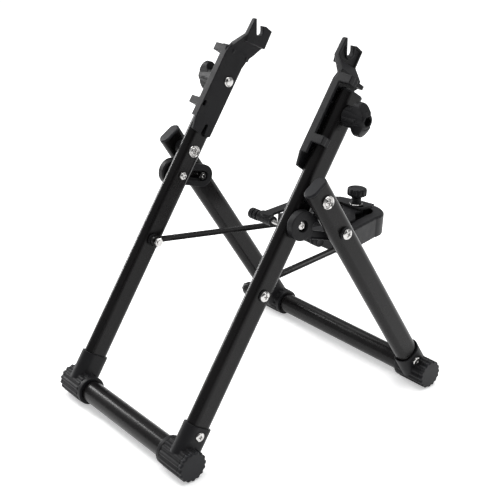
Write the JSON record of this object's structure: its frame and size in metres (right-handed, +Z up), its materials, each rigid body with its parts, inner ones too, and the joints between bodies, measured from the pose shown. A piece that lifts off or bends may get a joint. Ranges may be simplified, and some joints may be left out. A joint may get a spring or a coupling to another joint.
{
  "type": "bicycle repair stand",
  "caption": "Folding wheel truing stand: crossed flat-oval legs on round bars, slotted axle heads with clamp knobs, hinged caliper gauge arm.",
  "frame": {"origin": "on the ground under the middle of the whole stand, open", "axes": "+X to the side with the upper caliper arm, across the wheel's plane; +Y from the front bar to the back; +Z up"},
  "size_m": [0.296, 0.3934, 0.4121],
  "materials": {
    "powder_coat": "satin black powder coat",
    "moulded_black": "fine-grained moulded black",
    "bright_metal": "bright plated"
  },
  "bodies": {
    "front_frame": {"front_bar": "powder_coat", "upright_left": "powder_coat", "upright_right": "powder_coat", "upright_plugs": "moulded_black", "front_foot_left": "moulded_black", "front_foot_right": "moulded_black", "front_foot_caps": "moulded_black", "front_foot_bolts": "bright_metal", "pivot_bolts": "bright_metal", "pivot_spacers": "moulded_black", "link_bolts": "bright_metal", "brace_bolts": "bright_metal", "brace_spacers": "moulded_black"},
    "rear_frame": {"rear_bar": "powder_coat", "leg_left": "powder_coat", "leg_right": "powder_coat", "leg_caps": "moulded_black", "rear_foot_left": "moulded_black", "rear_foot_right": "moulded_black", "rear_foot_caps": "moulded_black", "rear_foot_bolts": "bright_metal", "limit_bolts": "bright_metal", "limit_washers": "moulded_black"},
    "fold_link_left": {"link_left": "moulded_black"},
    "limit_nut_left": {"link_nut_left": "bright_metal"},
    "fold_link_right": {"link_right": "moulded_black"},
    "limit_nut_right": {"link_nut_right": "bright_metal"},
    "gauge_arm": {"brace_left": "powder_coat", "brace_right": "powder_coat", "gauge_housing": "moulded_black", "gauge_stud": "bright_metal", "gauge_washer": "bright_metal"},
    "gauge_knob": {"gauge_knob": "moulded_black"},
    "caliper_left": {"caliper_left": "moulded_black"},
    "gauge_dial_left": {"gauge_dial_left": "moulded_black"},
    "gauge_rod_left": {"gauge_rod_left": "bright_metal"},
    "caliper_right": {"caliper_right": "moulded_black"},
    "gauge_dial_right": {"gauge_dial_right": "moulded_black"},
    "gauge_rod_right": {"gauge_rod_right": "bright_metal"},
    "head_left": {"head_left": "moulded_black", "head_bolt_left": "bright_metal"},
    "head_knob_left": {"head_knob_left": "moulded_black"},
    "head_right": {"head_right": "moulded_black", "head_bolt_right": "bright_metal"},
    "head_knob_right": {"head_knob_right": "moulded_black"}
  },
  "joints": [
    {"name": "fold", "type": "hinge", "parent": "front_frame", "child": "rear_frame", "pos_m": [0, -0.01668, 0.26647], "axis": [-1, 0, 0], "range_deg": [0, 58]},
    {"name": "link_swing_left", "type": "hinge", "parent": "front_frame", "child": "fold_link_left", "pos_m": [0, -0.0338, 0.24027], "axis": [-1, 0, 0], "range_deg": [0, 70]},
    {"name": "limit_nut_slide_left", "type": "slide", "parent": "fold_link_left", "child": "limit_nut_left", "axis": [0, -0.9539, 0.3001], "range_m": [0, 0.0276]},
    {"name": "link_swing_right", "type": "hinge", "parent": "front_frame", "child": "fold_link_right", "pos_m": [0, -0.0338, 0.24027], "axis": [-1, 0, 0], "range_deg": [0, 70]},
    {"name": "limit_nut_slide_right", "type": "slide", "parent": "fold_link_right", "child": "limit_nut_right", "axis": [0, -0.9539, 0.3001], "range_m": [0, 0.0276]},
    {"name": "gauge_arm_swing", "type": "hinge", "parent": "front_frame", "child": "gauge_arm", "pos_m": [0, -0.07794, 0.17271], "axis": [1, 0, 0], "range_deg": [-26, 150]},
    {"name": "gauge_knob_turn", "type": "hinge", "parent": "gauge_arm", "child": "gauge_knob", "pos_m": [0, 0.16196, 0.18788], "axis": [0, 0.0619, 0.9981], "range_deg": [0, 720]},
    {"name": "caliper_slide_left", "type": "slide", "parent": "gauge_arm", "child": "caliper_left", "axis": [-1, 0, 0], "range_m": [-0.002, 0.008]},
    {"name": "gauge_dial_turn_left", "type": "hinge", "parent": "caliper_left", "child": "gauge_dial_left", "pos_m": [0, 0.04506, 0.18512], "axis": [1, 0, 0], "range_deg": [-1081.2, 1081.2]},
    {"name": "gauge_rod_travel_left", "type": "slide", "parent": "caliper_left", "child": "gauge_rod_left", "axis": [1, 0, 0], "range_m": [-0.003, 0.003]},
    {"name": "caliper_slide_right", "type": "slide", "parent": "gauge_arm", "child": "caliper_right", "axis": [1, 0, 0], "range_m": [-0.002, 0.008]},
    {"name": "gauge_dial_turn_right", "type": "hinge", "parent": "caliper_right", "child": "gauge_dial_right", "pos_m": [0, 0.04506, 0.18512], "axis": [1, 0, 0], "range_deg": [-1081.2, 1081.2]},
    {"name": "gauge_rod_travel_right", "type": "slide", "parent": "caliper_right", "child": "gauge_rod_right", "axis": [1, 0, 0], "range_m": [-0.003, 0.003]},
    {"name": "head_slide_left", "type": "slide", "parent": "front_frame", "child": "head_left", "axis": [0, 0.547, 0.8371], "range_m": [-0.0055, 0.0055]},
    {"name": "head_knob_turn_left", "type": "hinge", "parent": "head_left", "child": "head_knob_left", "pos_m": [0, 0.032, 0.34097], "axis": [-1, 0, 0], "range_deg": [0, 720]},
    {"name": "head_slide_right", "type": "slide", "parent": "front_frame", "child": "head_right", "axis": [0, 0.547, 0.8371], "range_m": [-0.0055, 0.0055]},
    {"name": "head_knob_turn_right", "type": "hinge", "parent": "head_right", "child": "head_knob_right", "pos_m": [0, 0.032, 0.34097], "axis": [1, 0, 0], "range_deg": [0, 720]}
  ],
  "couplings": [
    {"joint": "link_swing_left", "follows": "fold", "ratio": 1.2},
    {"joint": "limit_nut_slide_left", "follows": "fold", "m_per_rad": 0.0268},
    {"joint": "link_swing_right", "follows": "fold", "ratio": 1.2},
    {"joint": "limit_nut_slide_right", "follows": "fold", "m_per_rad": 0.0268},
    {"joint": "gauge_dial_turn_left", "follows": "gauge_rod_travel_left", "rad_per_m": 6283.2},
    {"joint": "gauge_dial_turn_right", "follows": "gauge_rod_travel_right", "rad_per_m": 6283.2}
  ]
}
